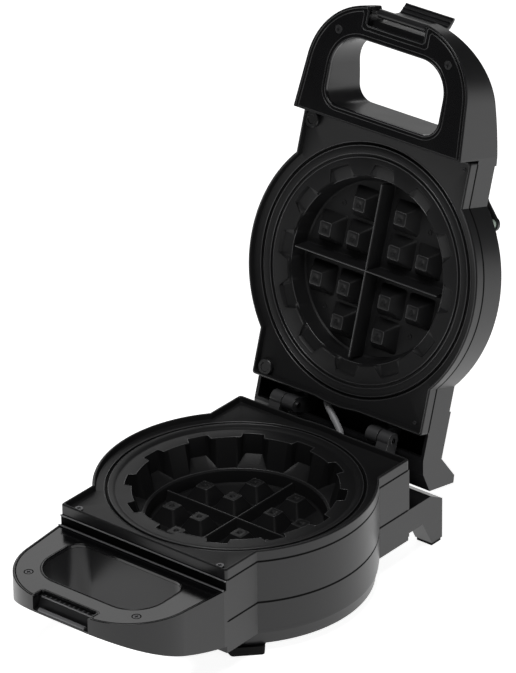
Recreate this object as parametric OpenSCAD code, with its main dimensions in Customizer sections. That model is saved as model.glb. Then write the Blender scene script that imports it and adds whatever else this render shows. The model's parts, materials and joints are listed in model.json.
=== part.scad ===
// Deep-dish waffle maker: a clamshell with a deep lower plate, a shallow upper plate,
// two D-shaped handles, a rear hinge and a flip latch. Millimetres, +Z up.
// X runs along the hinge, -Y points to the handles. The lid is drawn open.

/* [Body] */
// Diameter of the round body
body_d = 240; // [236:1:244]
// Width of the square neck at the handles
neck_front_w = 178; // [176:1:180]
// Width of the square neck at the hinge
neck_rear_w = 184; // [182:1:186]
// Wall thickness of the plastic housings
wall = 3; // [2.6:0.1:3.4]
// Height of the lower plate's top face above the floor
plate_top_z = 99; // [98:0.5:100]
// Height of the crease where the side wall meets the bottom cover
crease_z = 24; // [23:0.5:25]
// Height of the decorative groove round the base
waist_z = 50; // [49:0.5:51]

/* [Handles] */
// Width of the D-shaped handle at its root
handle_w = 178; // [176:1:180]
// Corner radius of the D
handle_r = 62; // [60:1:64]
// Distance from the root to the front of the D
handle_len = 101.5; // [100:0.5:103]
// Height of the lower handle's top face
handle_top_z = 80; // [79:0.5:81]
// Length of the hand hole, across the handle
hole_w = 119; // [116:1:120]

/* [Plates] */
// Depth of the lip round each plate
lip_h = 9.7; // [9:0.1:10]
// Depth of the lower dish
dish_depth = 46; // [44:1:47]
// Depth of the upper dish
lid_dish_depth = 23; // [22:0.5:23.5]
// Radius of the dish wall
dish_r = 78; // [77:0.5:79]

/* [Motion] */
// Angle between the open lid and the closed position
lid_open = 107.5; // [100:0.5:107.5]
// Travel of the latch from flipped back to hooked
latch_travel = 168; // [160:1:168]

/* [Hidden] */
$fn = 96;
fine = 0.01;
body_r = body_d / 2;
origin_y = -20;                // body centre, measured from the middle of the open part's length
neck_front_y = -120.5;
neck_rear_y = 118;
root_y = -123.5;
handle_front_y = root_y - handle_len;
corner_x = handle_r - 39;      // centre of a D corner, from the middle
corner_y = handle_front_y + handle_r;
hole_front_y = -195.5;
hole_rear_y = -134;
hole_front_r = 28;
hole_rear_r = 14;
lip_z = plate_top_z - lip_h;
side_top_z = lip_z - 0.7;
floor_gap = 9;                 // underside of the bottom cover
cover_floor_r = 117;           // underside of the bottom cover's bevel
foot_x = 77.8;                 // middle of a front foot on the floor
foot_y = -82.1;
foot_turn = 46;                // a front foot lies along the body's outline
foot_len = 29;
foot_top_len = 35;
foot_lean = -2.5;              // shift of its top towards the handle
foot_w = 14;
foot_corner = 3;
under_r = 284;                 // radius of the curved back of each handle
under_y = -75.6;
under_z = handle_top_z + 227.4;
block_rear_y = 163.7;
block_z = 27;
leg_w = 18;
hinge_y = 131;
hinge_z = plate_top_z + 2;
flange_sink = 5;               // the plates' faces lie this far below their rims
mouth_sink = 7;
mouth_r = 93.5;
plate_gap = 0.6;
lid_face_z = plate_top_z + plate_gap;
knuckle_r = 7;
pin_r = 2.5;
running = 0.05;
base_knuckle_x = 58.5;
lid_knuckle_x = 45.5;
knuckle_w = 12;
lid_side_b = 36;               // depth of the lid's side wall behind its plate
lid_top_b = 46;
handle_face_b = -16;           // upper handle's inner face, below the plate
latch_y = -219.5;
latch_b = -7.6;
recess_w = 59;
recess_rear_y = -212;
ledge_z = handle_top_z - 12.5;
screw_x = 58;
screw_y = -197;
plate_screw_x = 76;
plate_screw_y = -112.5;
pyramids = [[22, 22], [22, 52], [52, 22]];
lights = [[69, -77], [84, -62]];
light_h = 10;
black = [0.13, 0.13, 0.14];
dark = [0.07, 0.07, 0.08];
steel = [0.7, 0.7, 0.72];
foil = [0.8, 0.8, 0.8];

// Places its children in the part's frame.
module in_frame() {
    translate([0, origin_y, 0])
        children();
}

// Places closed-lid shapes at the open lid. Their z is the depth behind the plate face.
module on_lid() {
    in_frame()
        translate([0, hinge_y, hinge_z])
            rotate([-lid_open, 0, 0])
                translate([0, -hinge_y, lid_face_z - hinge_z])
                    children();
}

// The same shape on both sides.
module both_sides() {
    children();
    mirror([1, 0, 0])
        children();
}

// Point where a line from p touches the right side of a circle round c.
function tangent_point(p, c, r) = let (d = p - c, turn = acos(r / norm(d)), a = atan2(d[1], d[0]) - turn)
    c + r * [cos(a), sin(a)];

// Outline of the body: a circle with two square necks, pulled in by inset.
module body_outline(inset = 0) {
    circle(r = body_r - inset, $fn = 180);
    translate([-neck_front_w / 2 + inset, neck_front_y + inset])
        square([neck_front_w - 2 * inset, -neck_front_y]);
    translate([-neck_rear_w / 2 + inset, 0])
        square([neck_rear_w - 2 * inset, neck_rear_y - inset]);
}

// Outline of a D handle, pulled in by inset and reaching back to y = rear.
module handle_outline(inset = 0, rear = root_y) {
    r = handle_r - inset;
    r_in = r - 0.05;
    half = handle_w / 2 - inset;
    t = tangent_point([half, root_y], [corner_x, corner_y], r_in);
    for (x = [-corner_x, corner_x])
        intersection() {
            translate([x, corner_y])
                circle(r = r);
            translate([-half, corner_y - 2 * r])
                square([2 * half, 2 * r + 5]);
        }
    polygon([[-half, root_y], [-t[0], t[1]], [-corner_x, corner_y], [-corner_x, corner_y - r_in],
        [corner_x, corner_y - r_in], [corner_x, corner_y], t, [half, root_y]]);
    if (rear > root_y)
        translate([-half, root_y])
            square([2 * half, rear - root_y]);
}

// Outline of the hand hole, grown by grow.
module hole_outline(grow = 0) {
    w = hole_w / 2 + grow;
    front = hole_front_y - grow;
    rear = hole_rear_y + grow;
    rf = hole_front_r + grow;
    rr = hole_rear_r + grow;
    for (s = [-1, 1]) {
        translate([s * (w - rf), front + rf])
            circle(r = rf);
        translate([s * (w - rr), rear - rr])
            circle(r = rr);
    }
    translate([-w, front + rf])
        square([2 * w, rear - rr - front - rf]);
    translate([-w + rf, front])
        square([2 * (w - rf), rear - front]);
    translate([-w + rr, front + rf])
        square([2 * (w - rr), rear - front - rf]);
}

// A cylinder along X, centred on x = 0.
module rod_x(r, length) {
    rotate([0, 90, 0])
        cylinder(r = r, h = length, center = true);
}

// A side profile drawn in Y and Z, extruded along X round x = 0.
module side_profile(width) {
    rotate([90, 0, 90])
        translate([0, 0, -width / 2])
            linear_extrude(width)
                children();
}

// A pan-head screw standing down from its head's top at the origin.
module screw(head_r, shank_r, length) {
    difference() {
        union() {
            translate([0, 0, -1.8])
                cylinder(r = head_r, h = 1.8, $fn = 32);
            translate([0, 0, -length])
                cylinder(r = shank_r, h = length, $fn = 32);
        }
        for (a = [0, 90])
            rotate(a)
                translate([-head_r * 0.6, -0.5, -1])
                    cube([head_r * 1.2, 1, 2]);
    }
}

// Solid D handle with its curved underside, between its top face and its root.
module lower_handle_solid(inset = 0) {
    intersection() {
        translate([0, 0, crease_z])
            linear_extrude(handle_top_z - crease_z)
                handle_outline(inset, root_y + 6);
        translate([0, under_y, under_z])
            rod_x(under_r - inset, 300, $fn = 360);
    }
}

// Side profile of the rear block; the legs carry it down to the pads.
module block_profile(leg) {
    side_profile(leg)
        polygon([[113, block_z], [136.8, block_z], [149.4, 3], [block_rear_y, 3], [block_rear_y, 41],
            [148, waist_z - 0.4], [113, waist_z - 0.4]]);
}

module block_body(width, inset) {
    side_profile(width)
        polygon([[113, block_z + inset], [block_rear_y - inset, block_z + inset],
            [block_rear_y - inset, 41 - inset], [148 - inset * 0.6, waist_z - 0.4 - inset],
            [113, waist_z - 0.4 - inset]]);
}

// Side walls, lower handle, rear block and rear legs in one moulding.
module base_housing() {
    color(black) in_frame() difference() {
        union() {
            translate([0, 0, crease_z])
                linear_extrude(side_top_z - crease_z)
                    body_outline();
            lower_handle_solid();
            block_body(neck_rear_w, 0);
            translate([-neck_rear_w / 2, 77, block_z])
                cube([neck_rear_w, 40, waist_z - 0.4 - block_z]);
            both_sides()
                translate([(neck_rear_w - leg_w) / 2, 0, 0])
                    block_profile(leg_w);
        }
        translate([0, 0, crease_z - 1])
            linear_extrude(side_top_z)
                difference() {
                    body_outline(wall);
                    translate([-100, neck_front_y - 1])
                        square([200, 9]);
                }
        // waist groove
        translate([0, 0, waist_z - 0.4])
            linear_extrude(0.9)
                difference() {
                    translate([-130, neck_front_y + 0.5])
                        square([260, 250]);
                    body_outline(1);
                }
        // slot between the front of the plate and the handle
        translate([-86, -130, handle_top_z])
            cube([172, 14, 20]);
        translate([-100, -130, handle_top_z])
            cube([200, 130 + neck_front_y, 20]);
        // hollow of the handle, hand hole and the seat of the handle cover
        intersection() {
            translate([0, 0, crease_z])
                linear_extrude(handle_top_z)
                    difference() {
                        handle_outline(wall + 1.6);
                        hole_outline(wall);
                        translate([-recess_w / 2 - wall, handle_front_y - 1])
                            square([recess_w + 2 * wall, recess_rear_y + wall - handle_front_y + 1]);
                    }
            translate([0, under_y, under_z])
                rod_x(under_r - wall, 300, $fn = 360);
        }
        linear_extrude(120)
            hole_outline();
        translate([0, 0, handle_top_z - 3])
            linear_extrude(10)
                difference() {
                    handle_outline(2.2);
                    hole_outline(-1);
                }
        // latch recess with its ledge
        difference() {
            translate([-recess_w / 2, handle_front_y - 1, ledge_z])
                cube([recess_w, recess_rear_y - handle_front_y + 1, 20]);
            translate([-24, recess_rear_y - 3, handle_top_z - 7])
                cube([48, 5, 3]);
        }
        block_body(neck_rear_w - 2 * wall, wall);
        translate([-neck_rear_w / 2 + wall, 70, block_z + wall])
            cube([neck_rear_w - 2 * wall, 50, waist_z - 0.4 - block_z - 2 * wall]);
        // cord inlet, sleeve hole and bracket screw holes
        translate([0, block_rear_y, 34])
            rotate([-90, 0, 0])
                cylinder(r = 6, h = 20, center = true);
        translate([12, neck_rear_y, 72])
            rotate([90, 0, 0])
                cylinder(r = 5, h = 20, center = true);
        for (x = [-base_knuckle_x, base_knuckle_x])
            for (z = [66, 74])
                translate([x, neck_rear_y, z])
                    rotate([90, 0, 0])
                        cylinder(r = 1.6, h = 20, center = true);
        for (x = [-screw_x, screw_x])
            translate([x, screw_y, 50])
                cylinder(r = 1.3, h = 40);
    }
}

// Bevelled dish that closes the underside, with bosses for the front feet.
module bottom_cover() {
    color(black) in_frame() difference() {
        union() {
            translate([0, 0, floor_gap])
                cylinder(r1 = cover_floor_r, r2 = body_r - 0.5, h = crease_z - 0.2 - floor_gap, $fn = 180);
            translate([0, 0, crease_z - 4])
                linear_extrude(3.8)
                    body_outline(0.5);
            intersection() {
                at_front_feet()
                    translate([foot_lean, 0, floor_gap - 1])
                        linear_extrude(wall + 1)
                            foot_outline(foot_top_len + 1);
                cylinder(r = cover_floor_r, h = 30, $fn = 180);
            }
        }
        translate([0, 0, floor_gap + wall])
            cylinder(r1 = cover_floor_r - 4, r2 = body_r - 4, h = crease_z - floor_gap, $fn = 180);
        for (a = [45:90:315])
            rotate(a)
                translate([88, 0, floor_gap - 2])
                    cylinder(r = 2, h = 8);
        for (x = [-36:9:36])
            translate([x - 1.5, -14, floor_gap - 1])
                cube([3, 28, 6]);
    }
}

module bottom_cover_screws() {
    color(steel) in_frame()
        for (a = [45:90:315])
            rotate(a)
                translate([88, 0, floor_gap - 1.8])
                    mirror([0, 0, 1])
                        screw(3.6, 1.9, 12);
}

// Puts one front foot's drawing, made along X, under each side of the round body.
module at_front_feet() {
    both_sides()
        translate([foot_x, foot_y, 0])
            rotate(foot_turn)
                children();
}

module foot_outline(len) {
    offset(r = foot_corner)
        square([len - 2 * foot_corner, foot_w - 2 * foot_corner], center = true);
}

module front_feet() {
    color(dark) in_frame()
        at_front_feet()
            hull() {
                linear_extrude(1)
                    foot_outline(foot_len);
                translate([foot_lean, 0, floor_gap - 2])
                    linear_extrude(1)
                        foot_outline(foot_top_len);
            }
}

module rear_foot_pads() {
    color(dark) in_frame()
        both_sides()
            translate([neck_rear_w / 2 - leg_w + 1, 150.4, 0])
                cube([leg_w - 2, 12.4, 3]);
}

// Teeth that stand in from the mouth of the lower dish, between trapezoid notches.
module mouth_teeth(height) {
    linear_extrude(height)
        difference() {
            circle(r = mouth_r + 0.5);
            circle(r = mouth_r - 9);
            for (a = [0:30:330])
                rotate(a)
                    polygon([[dish_r, -14.5], [mouth_r + 1, -8.5], [mouth_r + 1, 8.5], [dish_r, 14.5]]);
        }
}

// Cross ridges and twelve blocks on the floor of a dish.
module waffle_grid(block_h, ridge_h) {
    for (a = [0, 90])
        rotate(a)
            translate([-dish_r, -2, 0])
                cube([2 * dish_r, 4, ridge_h]);
    for (q = [0:90:270])
        rotate(q)
            for (p = pyramids)
                translate([p[0] - 10, p[1] - 10, 0])
                    cube([20, 20, block_h]);
}

// Flange with a lip, and a deep dish under it.
module lower_plate() {
    floor_z = plate_top_z - dish_depth;
    color(dark) in_frame() {
        difference() {
            union() {
                translate([0, 0, lip_z])
                    linear_extrude(lip_h)
                        body_outline();
                translate([0, 0, floor_z - 3])
                    cylinder(r = 96, h = dish_depth);
            }
            difference() {
                translate([0, 0, lip_z - 1])
                    linear_extrude(lip_h - flange_sink - 2)
                        body_outline(3);
                cylinder(r = 97, h = 200);
            }
            translate([0, 0, floor_z])
                cylinder(r = dish_r, h = 100);
            translate([0, 0, plate_top_z - 33])
                cylinder(r = mouth_r, h = 40);
            translate([0, 0, plate_top_z - flange_sink])
                linear_extrude(20)
                    body_outline(2.5);
            translate([0, 0, plate_top_z - mouth_sink])
                cylinder(r = 101, h = 20);
            translate([0, 0, plate_top_z - mouth_sink + 0.8])
                difference() {
                    cylinder(r = 109.2, h = 20);
                    cylinder(r = 107.6, h = 20);
                }
            for (x = [-plate_screw_x, plate_screw_x])
                translate([x, plate_screw_y, 60])
                    cylinder(r = 1.7, h = 60);
        }
        translate([0, 0, plate_top_z - 33])
            mouth_teeth(33 - mouth_sink);
        translate([0, 0, floor_z])
            waffle_grid(13, 9);
    }
}

module lower_plate_screws() {
    color(steel) in_frame()
        for (x = [-plate_screw_x, plate_screw_x])
            translate([x, plate_screw_y, plate_top_z - flange_sink + 1.8])
                screw(3.4, 1.7, 7);
}

// Inset cover that closes the lower handle.
module lower_handle_cover() {
    color(black) in_frame() difference() {
        translate([0, 0, handle_top_z - 3])
            linear_extrude(3)
                difference() {
                    handle_outline(2.5);
                    hole_outline(0);
                    translate([-recess_w / 2, handle_front_y])
                        square([recess_w, recess_rear_y - handle_front_y]);
                }
        for (x = [-screw_x, screw_x])
            translate([x, screw_y, handle_top_z - 1.9]) {
                cylinder(r = 3.6, h = 4);
                translate([0, 0, -4])
                    cylinder(r = 1.9, h = 8);
            }
    }
}

module lower_handle_screws() {
    color(steel) in_frame()
        for (x = [-screw_x, screw_x])
            translate([x, screw_y, handle_top_z - 0.1])
                screw(3.4, 1.3, 14);
}

// Tubular element: most of a ring, with two terminals that turn down.
module heater(ring_r, tube_r, drop) {
    rotate(-75)
        rotate_extrude(angle = 330)
            translate([ring_r, 0])
                circle(r = tube_r);
    for (a = [-75, -105])
        rotate(a)
            translate([ring_r, 0, -drop])
                cylinder(r = tube_r * 0.6, h = drop - tube_r * 0.6);
}

module lower_heater() {
    color(steel) in_frame()
        translate([0, 0, plate_top_z - dish_depth - 7])
            heater(62, 3.5, 12);
}

module lower_heater_clips() {
    color(foil) in_frame()
        for (a = [30, 150, 210])
            rotate(a)
                translate([62, 0, plate_top_z - dish_depth - 12])
                    difference() {
                        translate([-6, -5, 0])
                            cube([12, 10, 9]);
                        translate([0, 0, 5])
                            rotate([90, 0, 0])
                                cylinder(r = 3.8, h = 20, center = true);
                    }
}

module lower_reflector() {
    color(foil) in_frame()
        translate([0, 0, 31])
            difference() {
                cylinder(r = 98, h = 30);
                translate([0, 0, 1])
                    cylinder(r = 97, h = 40);
                for (a = [-75, -105])
                    rotate(a)
                        translate([62, 0, -1])
                            cylinder(r = 4, h = 4);
            }
}

module thermostat() {
    color([0.85, 0.82, 0.75]) in_frame()
        translate([25, 20, 34])
            difference() {
                union() {
                    cylinder(r = 8, h = 9);
                    translate([-13, -4, 9])
                        cube([26, 8, 1]);
                }
                for (x = [-10.5, 10.5])
                    translate([x, 0, 5])
                        cylinder(r = 1.6, h = 10);
            }
}

module lower_thermal_fuse() {
    color([0.9, 0.9, 0.85]) in_frame()
        translate([-30, 10, 36])
            rotate([0, 90, 20]) {
                cylinder(r = 2.2, h = 26, center = true);
                cylinder(r = 0.8, h = 50, center = true);
            }
}

module terminal_block() {
    color([0.9, 0.88, 0.8]) in_frame()
        translate([-20, 88, floor_gap + wall + 2])
            difference() {
                cube([40, 16, 12]);
                for (x = [8, 20, 32]) {
                    translate([x, -1, 6])
                        rotate([-90, 0, 0])
                            cylinder(r = 2.4, h = 20);
                    translate([x, 8, 6])
                        cylinder(r = 1.8, h = 8);
                }
            }
}

// Leads that run from the terminal block forward to the element's ends.
module internal_leads() {
    color([0.75, 0.2, 0.15]) in_frame()
        for (s = [-1, 1])
            translate([s * 12, 0, 20]) {
                rotate([90, 0, 0])
                    cylinder(r = 1.6, h = 140, center = true, $fn = 24);
                translate([0, -69, 0])
                    cylinder(r = 1.6, h = 8, $fn = 24);
            }
}

// Rubber bushing that the mains lead passes through.
module cord_inlet_bushing() {
    color(dark) in_frame()
        translate([0, block_rear_y, 34])
            rotate([90, 0, 0])
                difference() {
                    union() {
                        cylinder(r = 6, h = 6);
                        translate([0, 0, -1.2])
                            cylinder(r = 7.2, h = 1.2);
                    }
                    translate([0, 0, -5])
                        cylinder(r = 3.6, h = 20);
                }
}

// Base half of a hinge: a post off the rear wall that carries the outer knuckle.
module hinge_bracket() {
    difference() {
        union() {
            translate([0, hinge_y, hinge_z])
                rod_x(knuckle_r, knuckle_w);
            side_profile(knuckle_w)
                polygon([[neck_rear_y, 60], [neck_rear_y, 88], [119.2, 92], [127, 106], [137, 97.5],
                    [133, 86], [121.5, 78], [121.5, 60]]);
        }
        translate([0, hinge_y, hinge_z])
            rod_x(pin_r, 40);
        for (z = [66, 74])
            translate([0, 120, z])
                rotate([90, 0, 0])
                    cylinder(r = 1.7, h = 20, center = true);
    }
}

module hinge_bracket_left() {
    color(dark) in_frame()
        translate([-base_knuckle_x, 0, 0])
            hinge_bracket();
}

module hinge_bracket_right() {
    color(dark) in_frame()
        translate([base_knuckle_x, 0, 0])
            hinge_bracket();
}

module hinge_bracket_screws() {
    color(steel) in_frame()
        for (x = [-base_knuckle_x, base_knuckle_x])
            for (z = [66, 74])
                translate([x, 123.3, z])
                    rotate([-90, 0, 0])
                        screw(3, 1.6, 10);
}

module hinge_pins() {
    color(steel) in_frame()
        for (x = [-base_knuckle_x, base_knuckle_x])
            translate([x > 0 ? 38 : -65, hinge_y, hinge_z])
                rotate([0, 90, 0])
                    cylinder(r = pin_r, h = 27);
}

// Spring clips that hold the rear edge of the lower plate.
module rear_plate_clips() {
    color(steel) in_frame()
        for (x = [-84.5, -21, 84.5])
            translate([x - 3.5, max(neck_rear_y, sqrt(pow(body_r, 2) - pow(abs(x) - 3.5, 2))) + fine, 80])
                difference() {
                    cube([7, 3, 16]);
                    translate([1, 1, -1])
                        cube([5, 3, 8]);
                }
}

// Route of the sleeve that carries the lid's wires past the hinge.
sleeve_route = [[12, 114, 72], [12, 120, 72], [11.5, 125, 73.5], [10, 129, 77.5], [7, 130.5, 84],
    [3, 133, 91], [-1.5, 136, 97.5], [-6, 140, 101], [-9.5, 145, 103], [-11.5, 149, 103.5]];

function side_of(i, n) = sleeve_route[min(i + 1, n - 1)] - sleeve_route[max(i - 1, 0)];
function unit(v) = v / norm(v);

// A tube swept along a route: one ring of points at each route point.
module swept_tube(route, r, sides) {
    n = len(route);
    rings = [for (i = [0:n - 1])
        let (t = unit(side_of(i, n)), u = unit(cross(t, [1, 0, 0])), v = cross(t, u))
            for (k = [0:sides - 1])
                route[i] + r * (cos(360 * k / sides) * u + sin(360 * k / sides) * v)];
    walls = [for (i = [0:n - 2])
        for (k = [0:sides - 1])
            let (a = i * sides + k, b = i * sides + (k + 1) % sides)
                [a, a + sides, b + sides, b]];
    polyhedron(rings, concat([[for (k = [0:sides - 1]) k]], walls,
        [[for (k = [sides - 1:-1:0]) (n - 1) * sides + k]]));
}

module wire_sleeve() {
    color(steel) in_frame()
        swept_tube(sleeve_route, 3.4, 12);
}

// Outer surface of the upper handle: a D between its inner face and its curved back.
module upper_handle_solid(inset = 0) {
    intersection() {
        translate([0, 0, handle_face_b])
            linear_extrude(lid_top_b - handle_face_b)
                handle_outline(inset, root_y + 8);
        translate([0, under_y, handle_face_b + 0.5 - 227.4])
            rod_x(under_r - inset, 300, $fn = 360);
    }
}

// Profile of the rear skirt, in Y and depth behind the plate face.
module skirt_profile(width, inset = 0) {
    side_profile(width)
        polygon([[100, 11 + inset * 2], [142 - inset, 11 + inset * 2], [154 - inset, 15 + inset * 2],
            [170 - inset * 1.2, 29.5 + inset * 0.5], [166 - inset, 63 - inset],
            [159 + inset * 0.4, 62 - inset], [142, 38 - inset], [100, 38 - inset]]);
}

// Side walls, top, upper handle and rear skirt in one moulding.
module lid_housing() {
    color(black) on_lid() difference() {
        union() {
            translate([0, 0, lip_h + 0.7])
                linear_extrude(lid_side_b - lip_h - 0.7)
                    body_outline();
            translate([0, 0, lid_side_b])
                cylinder(r1 = body_r, r2 = body_r - 9, h = lid_top_b - lid_side_b, $fn = 180);
            intersection() {
                translate([0, 0, 10])
                    linear_extrude(lid_top_b - 4 - 10)
                        body_outline(4);
                translate([-100, -200, 0])
                    cube([200, 400, 60]);
            }
            intersection() {
                upper_handle_solid();
                difference() {
                    translate([-150, -260, -20])
                        cube([300, 160, 80]);
                    translate([-150, neck_front_y - 1.5, -30])
                        cube([300, 60, 30 + lip_h + 0.7]);
                }
            }
            skirt_profile(neck_rear_w);
        }
        translate([0, 0, -40])
            linear_extrude(40 + lid_side_b - wall)
                difference() {
                    body_outline(wall);
                    translate([-100, neck_front_y - 1])
                        square([200, 4 + wall]);
                }
        linear_extrude(lid_top_b - wall - 4)
            body_outline(wall + 4);
        translate([0, 0, lid_side_b - wall])
            cylinder(r1 = body_r - wall, r2 = body_r - 9 - wall, h = lid_top_b - lid_side_b, $fn = 180);
        // hollow of the skirt, open towards the plate and the hinge
        intersection() {
            skirt_profile(neck_rear_w - 2 * wall, wall);
            translate([-100, 60, -20])
                cube([200, 120, 100]);
        }
        translate([-neck_rear_w / 2 + wall, 90, -20])
            cube([neck_rear_w - 2 * wall, 49, 55]);
        // hollow of the handle, hand hole and the seat of the panel
        intersection() {
            translate([0, 0, handle_face_b - 1])
                linear_extrude(80)
                    difference() {
                        handle_outline(wall + 1.6);
                        hole_outline(wall);
                        translate([-recess_w / 2 - wall, handle_front_y - 1])
                            square([recess_w + 2 * wall, 17.5 + wall]);
                    }
            translate([0, under_y, handle_face_b + 0.5 - 227.4])
                rod_x(under_r - wall, 300, $fn = 360);
        }
        translate([0, 0, -60])
            linear_extrude(160)
                hole_outline();
        translate([0, 0, handle_face_b - 1])
            linear_extrude(4)
                difference() {
                    handle_outline(2.2);
                    hole_outline(-1);
                }
        // latch notch through the front of the handle
        translate([-recess_w / 2, handle_front_y - 10, handle_face_b - 1])
            cube([recess_w, 22.5, 60]);
        translate([-recess_w / 2, handle_front_y - 10, handle_face_b - 1])
            cube([recess_w, 27.3, 9]);
        translate([0, latch_y, latch_b])
            rod_x(1.5, recess_w + 14);
        for (l = lights)
            translate([l[0], l[1], 20])
                cylinder(r = 3, h = 40);
        for (x = [-screw_x, screw_x])
            translate([x, screw_y, -20])
                cylinder(r = 1.3, h = 22);
    }
}

// Flange with a lip, and a shallow dish behind it.
module upper_plate() {
    color(dark) on_lid() {
        difference() {
            union() {
                linear_extrude(lip_h)
                    body_outline();
                cylinder(r = 90, h = lid_dish_depth + 3);
            }
            difference() {
                translate([0, 0, flange_sink + 3])
                    linear_extrude(lip_h)
                        body_outline(3);
                cylinder(r = 91, h = 200, center = true);
            }
            translate([0, 0, -1])
                cylinder(r = dish_r, h = lid_dish_depth + 1);
            translate([0, 0, -1])
                linear_extrude(flange_sink + 1)
                    body_outline(2.5);
            for (s = [[97.5, 99], [107.6, 109.2]])
                difference() {
                    cylinder(r = s[1], h = flange_sink + 1.2);
                    cylinder(r = s[0], h = 30, center = true);
                }
            for (a = [0:30:330])
                rotate(a)
                    linear_extrude(flange_sink + 2)
                        polygon([[dish_r - 4, -13], [dish_r + 2, -13], [90, -8], [90, 8],
                            [dish_r + 2, 13], [dish_r - 4, 13]]);
            for (y = [-112, 110])
                translate([80, y, -5])
                    cylinder(r = 1.7, h = 30);
        }
        translate([0, 0, lid_dish_depth])
            mirror([0, 0, 1])
                waffle_grid(12.5, 17.5);
    }
}

module upper_plate_screws() {
    color(steel) on_lid()
        for (y = [-112, 110])
            translate([80, y, flange_sink - 0.4])
                mirror([0, 0, 1])
                    difference() {
                        translate([0, 0, -10])
                            cylinder(r = 1.7, h = 10);
                        translate([-1.2, -0.3, -1])
                            cube([2.4, 0.6, 2]);
                    }
}

// Inset panel that closes the upper handle.
module upper_handle_panel() {
    color(black) on_lid() difference() {
        translate([0, 0, handle_face_b])
            linear_extrude(3)
                difference() {
                    handle_outline(2.5);
                    hole_outline(0);
                    translate([-recess_w / 2, handle_front_y])
                        square([recess_w, 17.3]);
                }
        for (x = [-screw_x, screw_x])
            translate([x, screw_y, handle_face_b]) {
                translate([0, 0, -2.1])
                    cylinder(r = 3.6, h = 4);
                cylinder(r = 1.9, h = 8);
            }
    }
}

module upper_handle_screws() {
    color(steel) on_lid()
        for (x = [-screw_x, screw_x])
            translate([x, screw_y, handle_face_b + 0.1])
                mirror([0, 0, 1])
                    screw(3.4, 1.3, 14);
}

module upper_heater() {
    color(steel) on_lid()
        translate([0, 0, lid_dish_depth + 7])
            mirror([0, 0, 1])
                heater(60, 3.5, 8);
}

module upper_reflector() {
    color(foil) on_lid()
        translate([0, 0, lid_dish_depth - 1])
            difference() {
                cylinder(r = 96, h = 19);
                translate([0, 0, -1])
                    cylinder(r = 95, h = 19);
            }
}

module upper_thermal_fuse() {
    color([0.9, 0.9, 0.85]) on_lid()
        translate([0, 20, lid_dish_depth + 7])
            rotate([0, 90, 0]) {
                cylinder(r = 2.2, h = 26, center = true);
                cylinder(r = 0.8, h = 60, center = true);
            }
}

// Lid half of a hinge: an arm from inside the skirt to the inner knuckle.
module hinge_arm() {
    b = hinge_z - lid_face_z;
    difference() {
        union() {
            translate([0, hinge_y, b])
                rod_x(knuckle_r, knuckle_w);
            side_profile(knuckle_w)
                polygon([[124.5, b], [124.5, 30], [139, 30], [139, 14], [137.5, b]]);
        }
        translate([0, hinge_y, b])
            rod_x(pin_r + running, 40);
        translate([0, 125, 22])
            rotate([90, 0, 0])
                cylinder(r = 1.7, h = 40, center = true);
    }
}

module hinge_arm_left() {
    color(dark) on_lid()
        translate([-lid_knuckle_x, 0, 0])
            hinge_arm();
}

module hinge_arm_right() {
    color(dark) on_lid()
        translate([lid_knuckle_x, 0, 0])
            hinge_arm();
}

module hinge_arm_screws() {
    color(steel) on_lid()
        for (x = [-lid_knuckle_x, lid_knuckle_x])
            translate([x, 122.7, 22])
                rotate([90, 0, 0])
                    screw(3.2, 1.7, 16);
}

// Raised cap that the two clear lenses carry above the top of the lid.
module indicator_bezel() {
    span = lights[1] - lights[0];
    color(black) on_lid() difference() {
        union() {
            for (l = lights)
                translate([l[0], l[1], lid_top_b + light_h])
                    cylinder(r = 6.5, h = 3);
            translate([lights[0][0], lights[0][1], lid_top_b + light_h])
                rotate(atan2(span[1], span[0]))
                    translate([0, -6, 0])
                        cube([norm(span), 12, 3]);
        }
        for (l = lights)
            translate([l[0], l[1], 30])
                cylinder(r = 3, h = 60);
    }
}

module light_lens(place) {
    translate([place[0], place[1], lid_top_b - 8]) {
        cylinder(r = 2.9, h = light_h + 11.4);
        cylinder(r = 4.4, h = 2);
        translate([0, 0, 8])
            cylinder(r = 4.4, h = light_h);
    }
}

module power_lens() {
    color([0.8, 0.1, 0.05]) on_lid()
        light_lens(lights[0]);
}

module ready_lens() {
    color([0.1, 0.7, 0.2]) on_lid()
        light_lens(lights[1]);
}

module latch_pin() {
    color(steel) on_lid()
        translate([0, latch_y, latch_b])
            rod_x(1.5, recess_w + 12);
}

// Latch in its hooked position, turning about the origin.
module latch_shape() {
    difference() {
        union() {
            rod_x(3.8, 50);
            side_profile(52)
                polygon([[-3.8, 0], [-8, -16], [-10.2, -29], [-6, -38], [-3.2, -36.8], [-6.8, -29],
                    [-5.2, -17], [-0.5, -3], [0, 0]]);
            side_profile(48)
                polygon([[-6.6, -18.5], [-2.8, -20], [-3.4, -21.6], [-7, -23]]);
        }
        rod_x(1.5 + running, 80);
    }
}

module latch() {
    color(black) on_lid()
        translate([0, latch_y, latch_b])
            rotate([-latch_travel, 0, 0])
                latch_shape();
}

base_housing();
bottom_cover();
bottom_cover_screws();
front_feet();
rear_foot_pads();
lower_plate();
lower_plate_screws();
lower_handle_cover();
lower_handle_screws();
lower_heater();
lower_heater_clips();
lower_reflector();
thermostat();
lower_thermal_fuse();
terminal_block();
internal_leads();
cord_inlet_bushing();
hinge_bracket_left();
hinge_bracket_right();
hinge_bracket_screws();
hinge_pins();
rear_plate_clips();
wire_sleeve();
lid_housing();
upper_plate();
upper_plate_screws();
upper_handle_panel();
upper_handle_screws();
upper_heater();
upper_reflector();
upper_thermal_fuse();
hinge_arm_left();
hinge_arm_right();
hinge_arm_screws();
indicator_bezel();
power_lens();
ready_lens();
latch_pin();
latch();
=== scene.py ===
import json
import math

import bmesh
import bpy
from mathutils import Matrix, Vector


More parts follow.
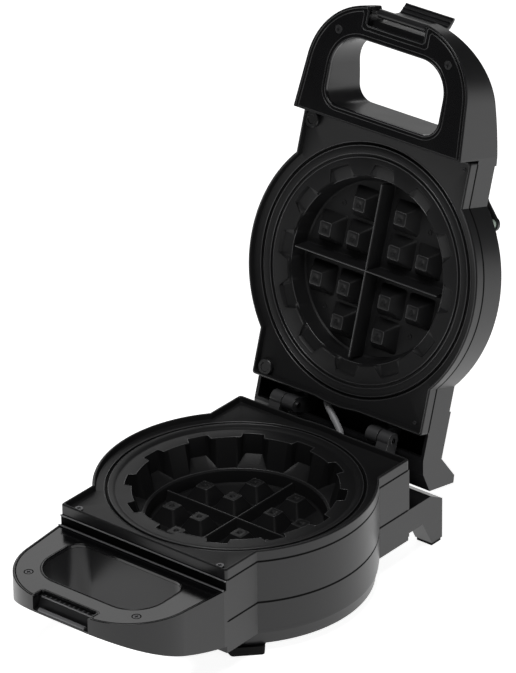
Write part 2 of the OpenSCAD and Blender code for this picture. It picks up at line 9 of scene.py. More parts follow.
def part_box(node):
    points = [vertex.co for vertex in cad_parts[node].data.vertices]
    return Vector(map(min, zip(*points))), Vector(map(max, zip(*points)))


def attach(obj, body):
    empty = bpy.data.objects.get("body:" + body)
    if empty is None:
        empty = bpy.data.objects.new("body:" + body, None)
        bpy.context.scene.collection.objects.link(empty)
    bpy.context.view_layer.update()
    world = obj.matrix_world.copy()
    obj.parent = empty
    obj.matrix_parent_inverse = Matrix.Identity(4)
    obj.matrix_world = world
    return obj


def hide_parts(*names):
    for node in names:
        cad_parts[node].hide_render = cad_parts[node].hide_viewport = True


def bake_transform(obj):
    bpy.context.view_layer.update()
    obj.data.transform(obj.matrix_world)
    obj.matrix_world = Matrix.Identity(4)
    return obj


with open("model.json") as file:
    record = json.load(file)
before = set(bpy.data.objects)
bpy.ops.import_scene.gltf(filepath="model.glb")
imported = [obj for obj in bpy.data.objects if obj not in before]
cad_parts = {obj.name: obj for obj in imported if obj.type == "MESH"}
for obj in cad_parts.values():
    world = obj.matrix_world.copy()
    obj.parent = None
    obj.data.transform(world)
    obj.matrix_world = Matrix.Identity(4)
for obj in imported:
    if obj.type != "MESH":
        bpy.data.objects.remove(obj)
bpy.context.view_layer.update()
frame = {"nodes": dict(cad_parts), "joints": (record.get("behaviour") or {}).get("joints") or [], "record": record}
record = frame["record"]
joints = {joint["name"]: joint for joint in frame["joints"]}
slot_of = {part["node"]: part["material_slot"] for part in record["subparts"]}
body_of = {node: body for body, nodes in record["behaviour"]["bodies"].items() for node in nodes}

MM = 0.001


def mm(metres):
    return round(metres / MM, 3)


# ---------------------------------------------------------------- the drawings
# The pieces are drawn in mm round the middle of the body: x across, y from the handle to the hinge.
# BASE measures z up from the floor, and LOWER measures depth down into the lower plate.
# LID is the closed lid's drawing, turned open about the hinge: its z runs from the rims into the lid.
reflector_low, reflector_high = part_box("lower_reflector")
body_y = (reflector_low.y + reflector_high.y) / 2
plate_low, plate_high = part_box("lower_plate")
hinge = Vector(joints["lid_hinge"]["pos_m"])
lid_turn = -math.radians(max(joints["lid_hinge"]["range_deg"]))
rim_gap = 0.6 * MM
FLIP = Matrix.Scale(-1, 4, (0, 0, 1))
BASE = Matrix.Translation((0, body_y, 0)) @ Matrix.Scale(MM, 4)
LOWER = BASE @ Matrix.Translation((0, 0, mm(plate_high.z))) @ FLIP
LID = (Matrix.Translation(hinge) @ Matrix.Rotation(lid_turn, 4, "X") @ Matrix.Translation(-hinge)
       @ Matrix.Translation((0, body_y, plate_high.z + rim_gap)) @ Matrix.Scale(MM, 4))

# ---------------------------------------------------------------- sizes in mm
body_r = 120.0
front_half = 89.0              # half width of the neck towards the handle
rear_half = 92.0               # half width of the neck towards the hinge
front_y = mm(body_y - plate_low.y)
rear_y = 118.0
plate_top = mm(plate_high.z)
side_top = mm(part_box("base_housing")[1].z)
waist_z = 50.0
lip_h = 9.7                    # height of a plate's outer wall
sink = 5.0                     # depth of a plate's flange below its rim
shelf = sink + 2               # depth of the shelf round the lower plate's mouth
outer_groove_r = 108.55
inner_groove_r = 98.45
LOWER_DISH = {"floor": 46.0, "wall_r": 75.0, "ridge_tip": 36.0, "block_tip": 33.0}
UPPER_DISH = {"floor": 23.0, "wall_r": 76.2, "ridge_tip": 6.3, "block_tip": 10.7}

handle_z = mm(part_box("lower_handle_cover")[1].z)
upper_face = -16.0             # the upper handle's inner face, below the rims
root_y = -123.5                # where a handle leaves the body
handle_r = 62.0
corner_x = 23.0                # centre of a handle's front corner
corner_y = handle_r - 225
hole_half = 59.5
hole_front = -195.5
hole_rear = -134.0
hole_front_r = 28.0
hole_rear_r = 14.0
latch_axis = LID.inverted() @ Vector(joints["latch_pivot"]["pos_m"])


# ---------------------------------------------------------------- camera, lights and world
def make_camera():
    """Camera at the photograph's angle, moved sideways and up in its own plane to frame the object."""
    azimuth = math.radians(39.624)
    elevation = math.radians(27.946)
    roll = math.radians(-0.748)
    distance, aim_height, move_right, move_up = 4.7944, 0.09928, 0.018661, 0.119761
    level = math.cos(elevation)
    back = Vector((math.sin(azimuth) * level, -math.cos(azimuth) * level, math.sin(elevation)))
    right = Vector((math.cos(azimuth), math.sin(azimuth), 0))
    up = back.cross(right)
    side = right * math.cos(roll) + up * math.sin(roll)
    top = up * math.cos(roll) - right * math.sin(roll)
    data = bpy.data.cameras.new("camera")
    data.lens = 306.8
    data.sensor_width = 36
    data.clip_end = 100
    cam = bpy.data.objects.new("camera", data)
    cam.matrix_world = Matrix((side, top, back)).transposed().to_4x4()
    cam.location = Vector((0, body_y, aim_height)) + back * distance + side * move_right + top * move_up
    bpy.context.scene.collection.objects.link(cam)
    bpy.context.scene.camera = cam


def area_light(name, place, target, size, power, size_y=None):
    data = bpy.data.lights.new(name, "AREA")
    data.energy = power
    data.size = size
    if size_y:
        data.shape = "RECTANGLE"
        data.size_y = size_y
    lamp = bpy.data.objects.new(name, data)
    lamp.location = place
    lamp.rotation_euler = (Vector(target) - Vector(place)).to_track_quat("-Z", "Y").to_euler()
    bpy.context.scene.collection.objects.link(lamp)


def make_world():
    world = bpy.data.worlds.new("studio")
    world.use_nodes = True
    background = world.node_tree.nodes["Background"]
    background.inputs["Color"].default_value = (1, 1, 1, 1)
    background.inputs["Strength"].default_value = 0.05
    bpy.context.scene.world = world
    bpy.context.scene.view_settings.view_transform = "Standard"


make_camera()
make_world()


# ---------------------------------------------------------------- materials
def plastic(name, colour, rough, grain=0.0, grain_scale=900, vary=0.12, specular=0.5, metallic=0.0, coat=0.0):
    """Moulded plastic or metal: colour and roughness drift a little, and fine grain bumps the surface."""
    mat = bpy.data.materials.new(name)
    mat.use_nodes = True
    tree = mat.node_tree
    shader = tree.nodes["Principled BSDF"]
    shader.inputs["Metallic"].default_value = metallic
    shader.inputs["Specular IOR Level"].default_value = specular
    shader.inputs["Coat Weight"].default_value = coat
    coords = tree.nodes.new("ShaderNodeTexCoord")
    cloud = tree.nodes.new("ShaderNodeTexNoise")
    cloud.inputs["Scale"].default_value = 28
    cloud.inputs["Detail"].default_value = 4
    tree.links.new(coords.outputs["Object"], cloud.inputs["Vector"])
    mix = tree.nodes.new("ShaderNodeMix")
    mix.data_type = "RGBA"
    mix.inputs["A"].default_value = (*[c * (1 - vary) for c in colour], 1)
    mix.inputs["B"].default_value = (*[min(1, c * (1 + vary)) for c in colour], 1)
    tree.links.new(cloud.outputs["Fac"], mix.inputs["Factor"])
    tree.links.new(mix.outputs["Result"], shader.inputs["Base Color"])
    spread = tree.nodes.new("ShaderNodeMapRange")
    spread.inputs["To Min"].default_value = max(0.02, rough - 0.05)
    spread.inputs["To Max"].default_value = rough + 0.05
    tree.links.new(cloud.outputs["Fac"], spread.inputs["Value"])
    tree.links.new(spread.outputs["Result"], shader.inputs["Roughness"])
    if grain:
        fine = tree.nodes.new("ShaderNodeTexNoise")
        fine.inputs["Scale"].default_value = grain_scale
        fine.inputs["Detail"].default_value = 2
        tree.links.new(coords.outputs["Object"], fine.inputs["Vector"])
        bump = tree.nodes.new("ShaderNodeBump")
        bump.inputs["Strength"].default_value = grain
        bump.inputs["Distance"].default_value = 0.0002
        tree.links.new(fine.outputs["Fac"], bump.inputs["Height"])
        tree.links.new(bump.outputs["Normal"], shader.inputs["Normal"])
    return mat


NONSTICK_BLACK = (0.011, 0.011, 0.0115)
MATERIALS = {
    "housing": plastic("housing_black", (0.0105, 0.0105, 0.0112), 0.32, grain=0.1, specular=0.42),
    "handle_panel": plastic("panel_black", (0.004, 0.004, 0.0045), 0.15, grain=0.02),
    "latch_plastic": plastic("latch_black", (0.012, 0.012, 0.013), 0.33, grain=0.2),
    "nonstick": plastic("nonstick_coat", NONSTICK_BLACK, 0.42, grain=0.15, grain_scale=600, specular=0.22),
    "rubber": plastic("rubber_black", (0.005, 0.005, 0.005), 0.7, grain=0.5, specular=0.1),
    # Gloss black with a clear coat; its colour is lifted above the housing's black as a painted highlight on the
    # hinge parts.
    "hinge_black": plastic("hinge_gloss_black_painted_highlight", (0.05, 0.05, 0.052), 0.3, specular=1.0, coat=1.0),
    "screw_black": plastic("screw_blackened", (0.1, 0.1, 0.104), 0.3, metallic=0.9),
    "pin_steel": plastic("pin_bright_steel", (0.6, 0.6, 0.61), 0.2, metallic=1.0),
    "clip_steel": plastic("clip_steel", (0.5, 0.5, 0.5), 0.3, metallic=1.0),
    "element_steel": plastic("element_steel", (0.35, 0.34, 0.32), 0.35, metallic=1.0),
    "foil_steel": plastic("reflector_steel", (0.55, 0.55, 0.55), 0.3, metallic=1.0),
    "wire_sleeve": plastic("sleeve_weave", (0.35, 0.35, 0.36), 0.4, grain=0.6),
    "ceramic": plastic("ceramic", (0.7, 0.68, 0.62), 0.5, grain=0.3),
    "fuse_sleeve": plastic("fuse_sleeve", (0.5, 0.48, 0.42), 0.6, grain=0.4),
    "terminal_plastic": plastic("terminal_plastic", (0.6, 0.58, 0.5), 0.45, grain=0.2),
    "lead_sleeve": plastic("lead_sleeve", (0.35, 0.05, 0.04), 0.5, grain=0.2),
    # Matt near-black: the dark joints round the handle covers and screws and along the parting lines, and sheets
    # of painted shade in the front slot and the flange grooves.
    "joint_and_painted_shade": plastic("joint_and_painted_shade_black", (0.002, 0.002, 0.002), 0.8, specular=0.1),
    # A lighter copy of the black plastic: painted highlight on thin edges, ribs and lips.
    "painted_highlight": plastic("painted_highlight_black", (0.16, 0.16, 0.165), 0.25, specular=1.0),
    "rim_gloss": plastic("rim_gloss_black", (0.012, 0.012, 0.013), 0.12),
    # A lighter copy of the plate's black: painted highlight on the plates' thin beads.
    "painted_bead_highlight": plastic("painted_bead_highlight_black", (0.055, 0.055, 0.057), 0.22, specular=0.9),
    "power_lens": plastic("lens_clear_red", (0.75, 0.6, 0.58), 0.12),
    "ready_lens": plastic("lens_clear_green", (0.6, 0.72, 0.62), 0.12),
}


def round_edges(obj, width):
    """Joins the flat triangles, rounds the sharp edges and keeps the flat faces shaded flat."""
    weld = obj.modifiers.new("join_points", "WELD")
    weld.merge_threshold = 0.00001
    lean = obj.modifiers.new("merge_flats", "DECIMATE")
    lean.decimate_type = "DISSOLVE"
    lean.angle_limit = math.radians(0.3)
    soft = obj.modifiers.new("round_edges", "BEVEL")
    soft.width = width * MM
    soft.segments = 2
    soft.limit_method = "ANGLE"
    soft.angle_limit = math.radians(30)
    level = obj.modifiers.new("level_flats", "WEIGHTED_NORMAL")
    level.weight = 80
    level.keep_sharp = True


def finish_cad_pieces():
    for name, node in frame["nodes"].items():
        node.data.materials.clear()
        node.data.materials.append(MATERIALS[slot_of.get(name, "housing")])
    hinge_parts = [f"hinge_{kind}_{side}" for kind in ("bracket", "arm") for side in ("left", "right")]
    for width, names in ((0.7, ("base_housing", "lid_housing")),
                         (0.6, ("bottom_cover", *hinge_parts)),
                         (0.5, ("lower_handle_cover", "upper_handle_panel"))):
        for name in names:
            round_edges(frame["nodes"][name], width)


finish_cad_pieces()


# ---------------------------------------------------------------- mesh helpers
class Shape:
    """Collects rings of points and the faces between them, then becomes one object."""

    def __init__(self):
        self.bm = bmesh.new()

    def ring(self, points):
        return [self.bm.verts.new(p) for p in points]

    def skin(self, a, b):
        n = len(a)
        for i in range(n):
            j = (i + 1) % n
            self.bm.faces.new((a[i], a[j], b[j], b[i]))

    def loft(self, rings, cap_first=False, cap_last=False):
        made = [self.ring(r) for r in rings]
        for a, b in zip(made, made[1:]):
            self.skin(a, b)
        if cap_first:
            self.bm.faces.new(made[0])
        if cap_last:
            self.bm.faces.new(made[-1])
        return made

    def done(self, name, drawing, node, material, smooth=35, span=None, replaces=True):
        """Makes the piece on node's body, or, when span is given, bakes it in place on no body; span's two points
        are not read.
        """
        bmesh.ops.remove_doubles(self.bm, verts=self.bm.verts, dist=0.001)
        bmesh.ops.recalc_face_normals(self.bm, faces=self.bm.faces)
        bmesh.ops.transform(self.bm, matrix=drawing, verts=self.bm.verts)
        limit = math.radians(smooth)
        for edge in self.bm.edges:
            edge.smooth = len(edge.link_faces) == 2 and edge.calc_face_angle(0) < limit
        for face in self.bm.faces:
            face.smooth = True
        mesh = bpy.data.meshes.new(name)
        self.bm.to_mesh(mesh)
        self.bm.free()
        obj = bpy.data.objects.new(name, mesh)
        bpy.context.scene.collection.objects.link(obj)
        obj.data.materials.append(MATERIALS[material])
        if span:
            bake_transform(obj)
        else:
            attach(obj, body_of[node])
        if replaces:
            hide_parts(node)


def between(share, a, b):
    return a + (b - a) * share


def circle_point(cx, cy, r, turn):
    return (cx + r * math.cos(turn), cy + r * math.sin(turn))


def arc(cx, cy, r, start, end, steps=14):
    return [circle_point(cx, cy, r, math.radians(between(i / steps, start, end))) for i in range(steps + 1)]


def rounded_square(cx, cy, half, corner, depth, steps=4):
    reach = half - corner
    points = []
    for k, (sx, sy) in enumerate(((1, 1), (-1, 1), (-1, -1), (1, -1))):
        points += arc(cx + sx * reach, cy + sy * reach, corner, 90 * k, 90 * k + 90, steps)
    return [(x, y, depth) for x, y in points]


def along_x(shape, profile, half):
    """A bar along X with a (y, z) profile."""
    shape.loft([[(x, y, z) for y, z in profile] for x in (-half, half)], cap_first=True, cap_last=True)


def rod(shape, y, z, r, half, sides=10):
    along_x(shape, [circle_point(y, z, r, 2 * math.pi * k / sides) for k in range(sides)], half)


def disc(shape, x, y, rings, sides=28):
    """A turned detail: rings of (radius, height), closed at both ends."""
    turns = [2 * math.pi * k / sides for k in range(sides)]
    circles = [[(*circle_point(x, y, r, t), h) for t in turns] for r, h in rings]
    shape.loft(circles, cap_first=True, cap_last=True)


def trace(shape, path, half_width, low, high, closed=False, sides=6):
    """A bead along a path of points: flat below, rounded above, between two heights."""
    n = len(path)
    rings = []
    for i, point in enumerate(path):
        here = Vector(point)
        before = Vector(path[(i - 1) % n] if closed or i else path[0])
        after = Vector(path[(i + 1) % n] if closed or i < n - 1 else path[-1])
        run = (after - before).normalized()
        side = Vector((run.y, -run.x))
        ring = []
        for k in range(sides + 1):
            t = math.pi * k / sides
            ring.append((*(here + side * (half_width * math.cos(t))), between(math.sin(t), low, high)))
        rings.append(ring)
    made = shape.loft(rings, cap_first=not closed, cap_last=not closed)
    if closed:
        shape.skin(made[-1], made[0])


def circle_bead(shape, radius, half_width, low, high):
    trace(shape, arc(0, 0, radius, 0, 357, 119), half_width, low, high, closed=True)


# ---------------------------------------------------------------- outline of the round body and its necks
def inside_outline(x, y, inset, corner):
    """True inside the round body with its front and rear necks, all edges moved in by inset."""
    if math.hypot(x, y) <= body_r - inset:
        return True
    half, reach = (front_half, front_y) if y < 0 else (rear_half, rear_y)
    half -= inset
    reach -= inset
    if abs(x) > half or abs(y) > reach:
        return False
    dx = abs(x) - (half - corner)
    dy = abs(y) - (reach - corner)
    return dx <= 0 or dy <= 0 or math.hypot(dx, dy) <= corner


def outline_radius(turn, inset, corner=2.5):
    """Distance from the middle to the outline, by halving."""
    near, far = body_r - inset, 160.0
    for _ in range(22):
        middle = (near + far) / 2
        if inside_outline(*circle_point(0, 0, middle, turn), inset, corner):
            near = middle
        else:
            far = middle
    return near


def plate_angles():
    """Even steps with more points at the necks' corners and at the mouth's notches."""
    full = 2 * math.pi
    marks = {round(math.radians(2 * step), 5) for step in range(180)}
    for half, reach, sign in ((front_half, front_y, -1), (rear_half, rear_y, 1)):
        for y in (reach, math.sqrt(body_r ** 2 - half ** 2)):
            for side in (-1, 1):
                corner = math.atan2(sign * y, side * half) % full
                marks |= {round((corner + math.radians(k * 0.25)) % full, 5) for k in range(-8, 9)}
    for notch in range(12):
        for off in (9.3, 8.0, 6.6, 6.1, 5.6, 4.4, 3.1):
            marks |= {round(math.radians(30 * notch + side * off) % full, 5) for side in (-1, 1)}
    return sorted(marks)


ANGLES = plate_angles()


def polar(radius, depth):
    """One ring of a plate: radius and depth are numbers or functions of the angle."""
    points = []
    for t in ANGLES:
        r = radius(t) if callable(radius) else radius
        d = depth(t) if callable(depth) else depth
        points.append((*circle_point(0, 0, r, t), d))
    return points


def rim_ring(inset, depth):
    return polar(lambda t: outline_radius(t, inset), depth)


def notched(wide, narrow, tooth, notch):
    """A value by angle: tooth between the mouth's twelve notches and notch in them, with sloped flanks."""
    def value(turn):
        off = abs((math.degrees(turn) + 15) % 30 - 15)
        return between(min(1, max(0, (wide - off) / (wide - narrow))), tooth, notch)
    return value


# ---------------------------------------------------------------- cooking plates
def turned(profile):
    return [polar(radius, depth) for radius, depth in profile]


def rim_rings():
    """A plate's outer wall, its rounded rim and the step down to its flange."""
    profile = ((3.0, lip_h), (0.3, lip_h), (0, lip_h - 0.4), (0, 1.0), (0.25, 0.35), (0.8, 0), (1.7, 0),
               (2.3, 0.3), (2.6, 1.0), (2.9, sink - 0.8), (3.1, sink - 0.2), (3.6, sink))
    return [rim_ring(inset, depth) for inset, depth in profile]


def outer_groove():
    return turned(((110.2, sink), (109.8, sink + 0.2), (109.6, sink + 1.8), (107.5, sink + 1.8),
                   (107.3, sink + 0.3), (106.7, sink)))


def lower_mouth():
    """Slope to a shelf, a toothed edge, ramps in the notches and the ledge above the dish."""
    slope = turned(((105.5, sink + 0.05), (103.2, sink + 0.6), (101.6, sink + 1.5), (100.8, shelf - 0.05),
                    (99.5, shelf)))
    edge = [polar(notched(6.6, 5.6, 87.0 + grow, 93.5 + grow), shelf + drop)
            for grow, drop in ((1.1, 0), (0.35, 0.2), (0, 0.9))]
    ramps = [polar(notched(9.3, 4.4, 79.7, 92.2), notched(9.3, 4.4, 32.6, 25.6)),
             polar(notched(9.3, 4.4, 79.4, 91.6), notched(9.3, 4.4, 32.9, 26.1))]
    ledge = turned(((79.2, 33.0), (78.6, 33.2), (77.3, 33.5), (76.7, 33.8), (76.4, 34.6)))
    return slope + edge + ramps + ledge


def lower_wall(floor):
    return turned(((75.2, floor - 1.6), (74.4, floor - 0.5), (73.0, floor), (30, floor), (0.5, floor)))


def upper_mouth():
    """Inner groove, then the mouth's edge with twelve shallow notches."""
    groove = turned(((100.0, sink), (99.5, sink + 0.2), (99.3, sink + 1.5), (97.6, sink + 1.5),
                     (97.4, sink + 0.2), (96.8, sink)))
    edge = [polar(notched(9.4, 6.0, 81.7, 92.1), sink),
            polar(notched(9.4, 6.0, 81.2, 91.6), sink + 0.4),
            polar(notched(9.8, 6.6, 80.9, 90.2), notched(9.4, 6.0, sink + 0.8, sink + 2.7)),
            polar(notched(10.2, 8.8, 80.6, 81.6), notched(9.4, 6.0, sink + 1.1, sink + 3.2))]
    return groove + edge


def upper_wall(floor):
    return turned(((79.8, sink + 4.0), (77.0, floor - 2.4), (76.2, floor - 0.9), (74.8, floor), (30, floor),
                   (0.5, floor)))


def block_places():
    """Three blocks in each quarter of a dish."""
    return [(sx * u, sy * v) for u, v in ((22, 22), (22, 52), (52, 22)) for sx in (-1, 1) for sy in (-1, 1)]


def waffle_block(shape, cx, cy, floor, tip, reach):
    """A truncated pyramid with rounded edges and a dimple in its top, kept inside the dish wall."""
    base, top = 13.4, 5.9
    sides = ((base + 0.8, 3.2, floor + 0.2), (base, 3, floor - 0.3), (base - 0.5, 2.8, floor - 1.2),
             (top + 0.7, 1.6, tip + 1.0), (top + 0.35, 1.5, tip + 0.3), (top - 0.3, 1.3, tip))
    rings = [rounded_square(cx, cy, half, corner, depth) for half, corner, depth in sides]
    n = len(rings[0])
    turns = [2 * math.pi * (i + 1.5) / n for i in range(n)]
    for r, drop in ((2.7, 0), (2.3, 0.15), (1.5, 0.7), (0.6, 0.9)):
        rings.append([(*circle_point(cx, cy, r, t), tip + drop) for t in turns])
    kept = []
    for ring in rings:
        pulls = [min(1, reach / math.hypot(x, y)) for x, y, _ in ring]
        kept.append([(x * pull, y * pull, d) for pull, (x, y, d) in zip(pulls, ring)])
    shape.loft(kept, cap_last=True)


def ridge(shape, along_x_axis, start, end, floor, height):
    """A thin-tipped ridge from start to end along one axis."""
    foot, tip = 3.6, 0.7
    right = [(tip * 0.5, -height), (tip, -height + 0.4), (tip + 0.5, -height + 1.4), (foot - 0.6, -0.6),
             (foot, 0.2)]
    profile = [(-v, w) for v, w in reversed(right)] + right
    rings = []
    for u in (start, end):
        rings.append([(u, v, floor + w) if along_x_axis else (v, u, floor + w) for v, w in profile])
    shape.loft(rings, cap_first=True, cap_last=True)


def plate(name, node, drawing, mouth, wall, dish):
    shape = Shape()
    floor, wall_r = dish["floor"], dish["wall_r"]
    shape.loft(rim_rings() + outer_groove() + mouth() + wall(floor), cap_last=True)
    for start, end in ((-wall_r, 0.0), (0.0, wall_r)):
        ridge(shape, True, start, end, floor, floor - dish["ridge_tip"])
        ridge(shape, False, start, end, floor, floor - dish["ridge_tip"])
    for u, v in block_places():
        waffle_block(shape, u, v, floor, dish["block_tip"], wall_r)
    shape.done(name, drawing, node, "nonstick", smooth=28)


def edge_beads(name, node, drawing, circles, outlines, dish):
    """Thin beads on the plate's circles and rim, and on the tips of its ridges and blocks, coloured lighter than
    the plate as a painted highlight.
    """
    beads = Shape()
    wall_r, ridge_tip, block_tip = dish["wall_r"], dish["ridge_tip"], dish["block_tip"]
    for radius, depth in circles:
        circle_bead(beads, radius, 0.3, depth + 0.1, depth - 0.25)
    for points in outlines:
        depth = points[0][2]
        trace(beads, [(x, y) for x, y, _ in points], 0.3, depth + 0.1, depth - 0.2, closed=True)
    for path in ([(-wall_r, 0), (wall_r, 0)], [(0, -wall_r), (0, wall_r)]):
        trace(beads, path, 0.5, ridge_tip + 0.1, ridge_tip - 0.25)
    for u, v in block_places():
        square = [(x, y) for x, y, _ in rounded_square(u, v, 5.7, 1.4, 0)]
        trace(beads, square, 0.22, block_tip + 0.1, block_tip - 0.12, closed=True)
    beads.done(name, drawing, node, "painted_bead_highlight", replaces=False)


def painted_groove_shade(name, node, drawing, radii):
    """Painted shade: matt black strips on the floors of the circular grooves in a plate's flange."""
    floors = Shape()
    for radius in radii:
        circle_bead(floors, radius, 0.85, sink + 1.9, sink + 1.7)
    floors.done(name, drawing, node, "joint_and_painted_shade", replaces=False)


# ---------------------------------------------------------------- handles
def handle_path(inset, notch_half, notch_y):
    """The D outline moved in, from the root's right round the front to its left, with the latch's notch."""
    r = handle_r - inset
    half = front_half - inset
    dx, dy = half - corner_x, root_y - corner_y
    lean = math.degrees(math.atan2(dy, dx) - math.acos(r / math.hypot(dx, dy)))
    ease = 2.0
    shoulder = notch_half + ease
    side = [(half, root_y)] + arc(corner_x, corner_y, r, lean, -82)
    right = [(x, y) for x, y in side if x > shoulder or y > corner_y]
    front = corner_y - math.sqrt(r * r - (shoulder - corner_x) ** 2)
    right += [(shoulder, front), (notch_half, front + ease), (notch_half, notch_y - ease),
              (notch_half - ease, notch_y)]
    return right + [(-x, y) for x, y in reversed(right)]


def hole_path(grow):
    """The hand hole's outline, moved out by grow."""
    half, front, rear = hole_half + grow, hole_front - grow, hole_rear + grow
    rf, rr = hole_front_r + grow, hole_rear_r + grow
    right = arc(half - rr, rear - rr, rr, 90, 0) + arc(half - rf, front + rf, rf, 0, -90)
    return right + [(-x, y) for x, y in reversed(right)]


def mirrored(drawing, height):
    """The drawing seen from the other side, for faces that look down."""
    return drawing @ Matrix.Translation((0, 0, height)) @ FLIP


def handle_lines(name, node, drawing, material, beads):
    """Beads on a handle's face, each a path with its half width, its height and whether it is closed."""
    shape = Shape()
    for path, half_width, high, closed in beads:
        trace(shape, path, half_width, -0.1, high, closed=closed)
    shape.done(name, drawing, node, material, replaces=False)


def screw_rings():
    """Dark rings round the lower handle cover's two screws."""
    low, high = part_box("lower_handle_screws")
    head_r = (high.y - low.y) / 2 / MM
    y = (high.y - body_y) / MM - head_r
    for side in (-1, 1):
        yield arc(side * (high.x / MM - head_r), y, head_r + 0.3, 0, 350, 35), 0.55, 0.1, True


def handle_seams():
    """Dark joints and polished rims round both handles' covers."""
    lower = BASE @ Matrix.Translation((0, 0, handle_z))
    handle_lines("lower_handle_seam", "base_housing", lower, "joint_and_painted_shade", (
        (handle_path(2.35, 31.4, -210.2), 0.42, 0.05, False),
        (hole_path(1.9), 0.38, 0.05, True),
        *screw_rings()))
    handle_lines("lower_handle_rim", "base_housing", lower, "handle_panel", (
        (handle_path(1.1, 30.2, -211.4), 0.75, 0.35, False),
        (hole_path(0.75), 0.7, 0.35, True)))
    upper = mirrored(LID, upper_face)
    handle_lines("upper_handle_seam", "lid_housing", upper, "joint_and_painted_shade", (
        (handle_path(3.1, 33.4, -205.4), 0.6, 0.05, False),
        (hole_path(2.6), 0.45, 0.05, True)))
    handle_lines("upper_handle_rim", "lid_housing", upper, "rim_gloss", (
        (handle_path(4.5, 34.5, -204.0), 0.6, 0.45, False),
        (handle_path(1.6, 31.0, -207.6), 0.8, 0.5, False),
        (hole_path(1.0), 0.85, 0.5, True),
        (hole_path(4.0), 0.5, 0.4, True)))


def front_slot():
    """A matt black sheet painted as the shade in the slot between the plate's lip and the handle, with a moulded
    edge above and below coloured lighter as a painted highlight.
    """
    slot = Shape()
    inner, outer = 0.2 - front_y, -0.6 - front_y
    along_x(slot, [(inner, handle_z + 0.1), (outer, handle_z + 0.3), (outer, side_top - 0.7),
                   (inner, side_top - 0.5)], front_half - 0.4)
    slot.done("front_slot_shade", BASE, "base_housing", "joint_and_painted_shade", replaces=False)
    # The two edges are coloured lighter than the housing: a painted highlight.
    edges = Shape()
    rod(edges, root_y - 0.7, handle_z + 0.9, 0.75, front_half - 0.4)
    rod(edges, -front_y - 0.8, side_top + 0.1, 0.7, front_half - 0.2)
    edges.done("front_slot_edges", BASE, "base_housing", "painted_highlight", replaces=False)


def latch_seat():
    """Latch seat in the front of the lower handle: ribbed ledge, sloped face and rounded catch lip."""
    bottom, ledge = 66.9, 76.6
    seat = Shape()
    along_x(seat, [(-212.2, bottom), (-212.2, ledge), (-214.6, ledge), (-215.6, ledge - 0.6),
                   (-218.6, bottom + 1.7), (-219.4, bottom)], 29.2)
    seat.done("latch_seat", BASE, "base_housing", "housing", replaces=False)
    # The ribs are coloured lighter than the housing: a painted highlight.
    ribs = Shape()
    for x in range(-25, 26, 5):
        rib = ((x - 0.5, ledge - 0.1), (x, ledge + 0.6), (x + 0.5, ledge - 0.1))
        ribs.loft([[(u, y, z) for u, z in rib] for y in (-212.4, -214.8)], cap_first=True, cap_last=True)
    ribs.done("latch_seat_ribs", BASE, "base_housing", "painted_highlight", replaces=False)
    # The catch lip is coloured lighter than the housing: a painted highlight.
    lip = Shape()
    rod(lip, -215.3, ledge - 0.4, 0.75, 27.5)
    rod(lip, -222.4, bottom + 0.9, 2.0, 24.5, 14)
    lip.done("latch_seat_lip", BASE, "base_housing", "painted_highlight", replaces=False)


def latch_tab():
    """Flipped-back latch: barrel, arm, flared finger tab and three ridges across it."""
    body = Shape()
    outline = [(-218.6, -4.2), (-217.9, 10.1), (-218.7, 20.5), (-219.6, 22.4), (-225.4, 27.2), (-226.6, 27.9),
               (-226.9, 28.6), (-226.2, 29.2), (-224.6, 29.0), (-218.4, 25.2), (-216.2, 22.4), (-215.2, 10.1),
               (-216.0, -4.0)]
    ends = ((-26, 0.985), (-25.6, 1), (25.6, 1), (26, 0.985))
    body.loft([[(x * narrow, y, z) for y, z in outline] for x, narrow in ends], cap_first=True, cap_last=True)
    rod(body, latch_axis.y, latch_axis.z, 3.8, 25, 24)
    for y, z in ((-219.9, 22.6), (-223.0, 25.1), (-226.0, 27.7)):
        rod(body, y, z, 0.95, 25.2)
    body.done("latch_tab", LID, "latch", "latch_plastic", smooth=40)


# ---------------------------------------------------------------- body and lid details
def body_bands():
    """Dark parting lines under each plate's lip and along the waist, and each lip's polished outer wall."""
    for name, drawing, node, low, high, material in (
            ("base_parting_line", BASE, "base_housing", side_top - 0.7, side_top + 1.2, "joint_and_painted_shade"),
            ("base_waist_line", BASE, "base_housing", waist_z - 0.9, waist_z + 1, "joint_and_painted_shade"),
            ("lid_parting_line", LID, "lid_housing", lip_h - 0.5, lip_h + 1.6, "joint_and_painted_shade"),
            ("lower_plate_lip", BASE, "lower_plate", side_top + 1.2, plate_top - 1, "housing"),
            ("upper_plate_lip", LID, "upper_plate", 1, lip_h - 0.5, "housing")):
        band = Shape()
        corners = ((0.3, low), (-0.03, low), (-0.03, high), (0.3, high))
        made = band.loft([rim_ring(inset, height) for inset, height in corners])
        band.skin(made[-1], made[0])
        band.done(name, drawing, node, material, replaces=False)


def lid_details():
    """Shell bosses in the plate's left corners and small location dimples between the blocks."""
    under_lid = mirrored(LID, 0)
    bosses = Shape()
    for y in (-111.5, 109.5):
        disc(bosses, -80.5, y, ((7.2, -6.5), (7.2, -1.6), (6.6, -1.0), (4.2, -1.0), (3.8, -1.6), (1.6, -1.6)))
    bosses.done("lid_corner_bosses", under_lid, "upper_plate", "housing", replaces=False)
    dimples = Shape()
    profile = ((2.4, -23.2), (2.3, -22.5), (1.6, -22.5), (1.3, -22.9), (0.5, -22.9))
    for x in (-46, 46):
        for y in (-46, 46):
            disc(dimples, x, y, profile, 16)
    dimples.done("lid_dish_dimples", under_lid, "upper_plate", "nonstick", replaces=False)


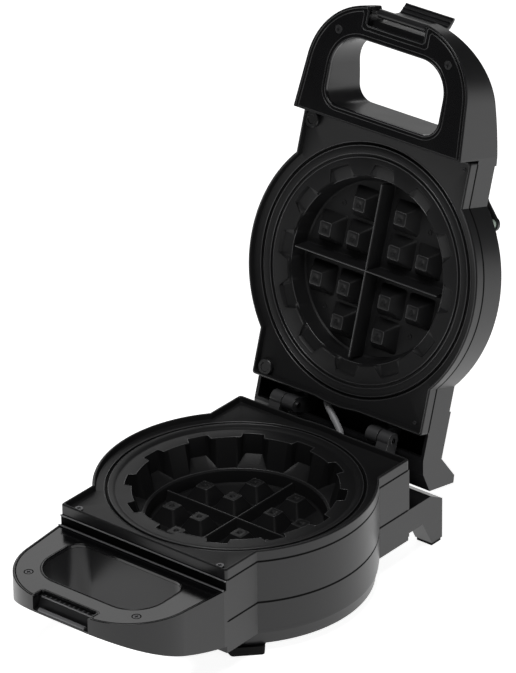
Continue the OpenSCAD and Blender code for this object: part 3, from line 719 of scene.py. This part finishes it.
def lead_sleeve():
    """Braided sleeve over the lid's leads, from the base up behind the lid's plate."""
    route = [Vector(p) for p in (
        (13, 115.5, 72), (12.8, 121, 76), (11, 127, 84), (7.5, 131, 91), (2, 133.3, 95.2), (-4, 135.5, 99.8),
        (-9.5, 137.6, 104), (-14.5, 140, 107.4), (-17.4, 144, 108.3), (-19, 149, 107.2))]
    line = [a.lerp(b, k / 6) for a, b in zip(route, route[1:]) for k in range(6)] + [route[-1]]
    for _ in range(6):
        inner = [(a + b * 2 + c) / 4 for a, b, c in zip(line, line[1:], line[2:])]
        line = [line[0], *inner, line[-1]]
    tube = Shape()
    rings = []
    for i, p in enumerate(line):
        run = (line[min(i + 1, len(line) - 1)] - line[max(i - 1, 0)]).normalized()
        u = run.cross(Vector((1, 0, 0))).normalized()
        v = run.cross(u)
        r = 3.02 if i % 2 else 2.9
        turns = [2 * math.pi * k / 14 for k in range(14)]
        rings.append([p + u * (r * math.cos(t)) + v * (r * math.sin(t)) for t in turns])
    tube.loft(rings, cap_first=True, cap_last=True)
    span = (BASE @ Vector((13, 121, 76)), BASE @ Vector((-17.4, 144, 108.3)))
    tube.done("lead_sleeve_braid", BASE, "wire_sleeve", "wire_sleeve", span=span)


plate("lower_plate_cast", "lower_plate", LOWER, lower_mouth, lower_wall, LOWER_DISH)
plate("upper_plate_cast", "upper_plate", LID, upper_mouth, upper_wall, UPPER_DISH)
handle_seams()
front_slot()
body_bands()
latch_seat()
latch_tab()
lid_details()
lead_sleeve()
rim_line = rim_ring(1.25, 0)
mouth_line = polar(notched(6.6, 5.6, 87.5, 94.0), shelf)
outer_circles = ((110.3, sink), (106.8, sink))
inner_circles = ((100.2, sink), (96.8, sink), (80.2, sink + 3.6))
edge_beads("lower_plate_beads", "lower_plate", LOWER, (*outer_circles, (79.0, 33.05)),
           (rim_line, mouth_line), LOWER_DISH)
edge_beads("upper_plate_beads", "upper_plate", LID, (*outer_circles, *inner_circles), (rim_line,), UPPER_DISH)
painted_groove_shade("lower_plate_groove_shade", "lower_plate", LOWER, (outer_groove_r,))
painted_groove_shade("upper_plate_groove_shade", "upper_plate", LID, (outer_groove_r, inner_groove_r))


# ---------------------------------------------------------------- floor and lights
def make_stage():
    """White floor that glows round the object and darkens towards the horizon."""
    mesh = bpy.data.meshes.new("floor")
    edge = 30
    corners = [(-edge, -edge, 0), (edge, -edge, 0), (edge, edge, 0), (-edge, edge, 0)]
    mesh.from_pydata(corners, [], [(0, 1, 2, 3)])
    floor = bpy.data.objects.new("floor", mesh)
    white = plastic("floor_white", (0.88, 0.88, 0.88), 0.8, vary=0.01, specular=0.1)
    tree = white.node_tree
    shader = tree.nodes["Principled BSDF"]
    shader.inputs["Emission Color"].default_value = (1, 1, 1, 1)
    coords = tree.nodes.new("ShaderNodeTexCoord")
    reach = tree.nodes.new("ShaderNodeVectorMath")
    reach.operation = "LENGTH"
    fade = tree.nodes.new("ShaderNodeMapRange")
    for socket, value in (("From Min", 2.6), ("From Max", 5.5), ("To Min", 0.9), ("To Max", 0.1)):
        fade.inputs[socket].default_value = value
    tree.links.new(coords.outputs["Object"], reach.inputs[0])
    tree.links.new(reach.outputs["Value"], fade.inputs["Value"])
    tree.links.new(fade.outputs["Result"], shader.inputs["Emission Strength"])
    floor.data.materials.append(white)
    bpy.context.scene.collection.objects.link(floor)


make_stage()
middle = (0, 0, 0.12)
area_light("back_panel", (-1.75, 2.1, 1.45), middle, 2.4, 13, 1.3)
area_light("top_panel", (0.2, -0.7, 2.4), middle, 1.3, 26)
area_light("right_panel", (2.4, 0.3, 1.0), middle, 1.5, 4, 1.2)
